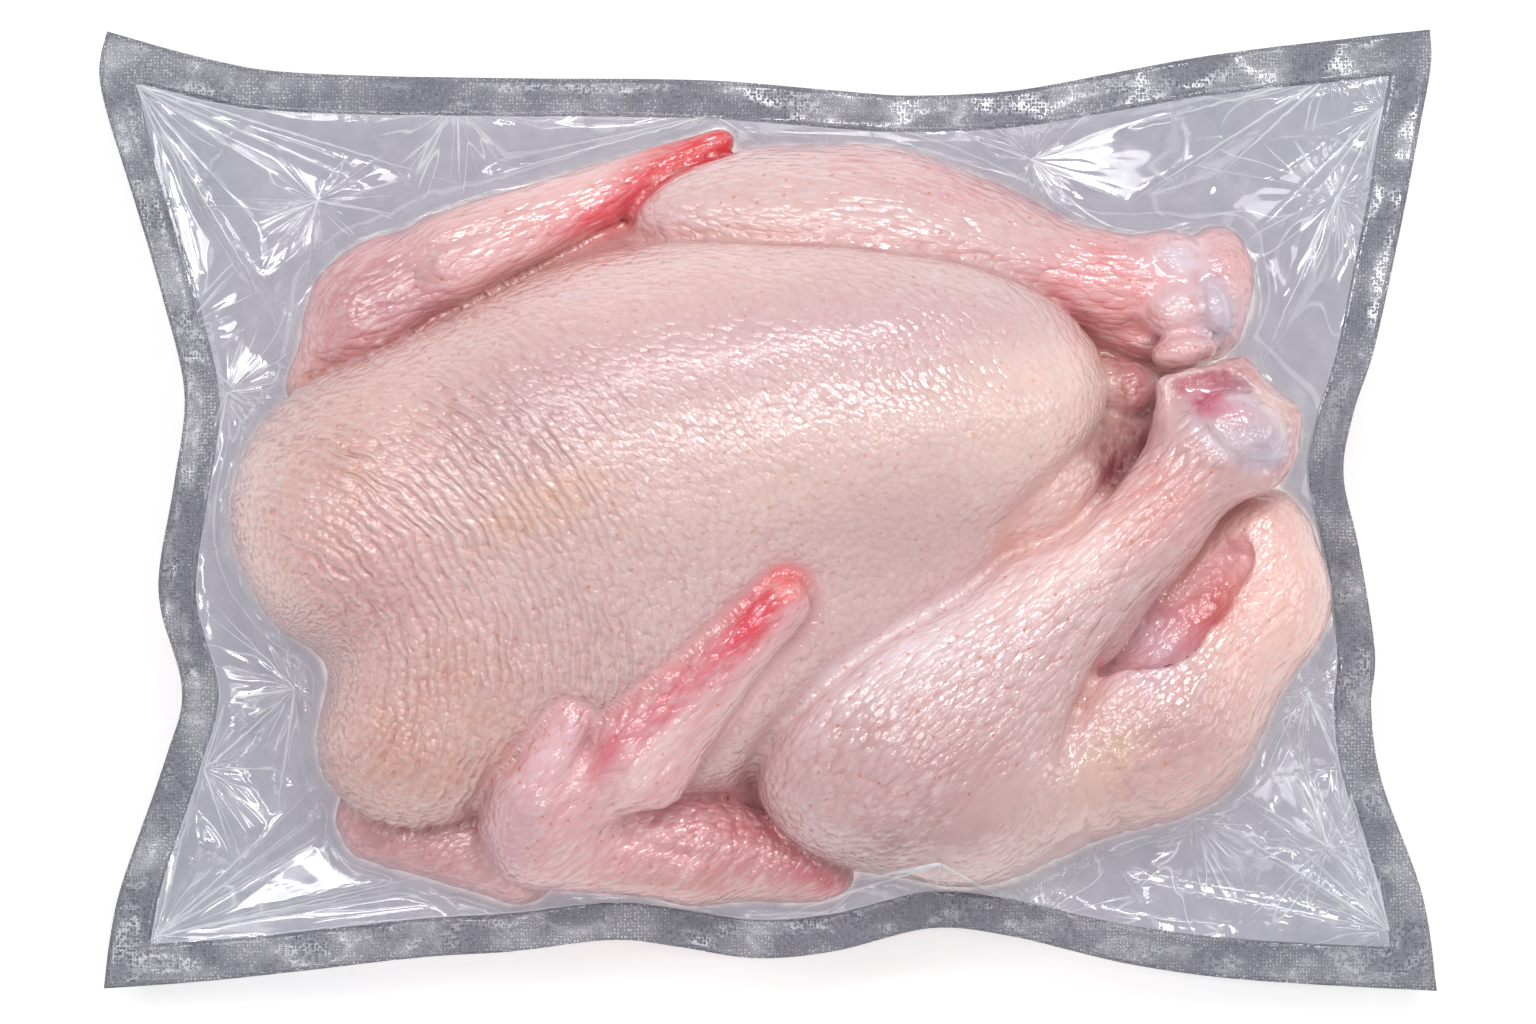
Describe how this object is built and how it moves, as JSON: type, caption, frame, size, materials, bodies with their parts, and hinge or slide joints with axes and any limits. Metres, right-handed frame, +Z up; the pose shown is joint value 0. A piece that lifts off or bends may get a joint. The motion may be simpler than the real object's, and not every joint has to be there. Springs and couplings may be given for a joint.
{
  "type": "whole raw chicken in a clear vacuum bag",
  "caption": "Whole raw chicken lying breast up, wings folded, in a flat clear vacuum bag drawn tight round it, with wavy sealed edges and pointed corners.",
  "frame": {"origin": "middle of the bag's bounding box in plan, at the height of the table", "axes": "+X from the neck end to the legs, +Y from the near wing to the far wing, +Z up from the back to the breast"},
  "size_m": [0.3644, 0.262, 0.1026],
  "materials": {
    "skin": "wet pale pink poultry skin with goose bumps, redder at the wings, bluish white at the joints",
    "film": "clear glossy vacuum film, creased where it lies on itself, embossed along the sealed edges"
  },
  "bodies": {
    "root": {"vacuum_bag_with_chicken": "skin"}
  },
  "joints": []
}
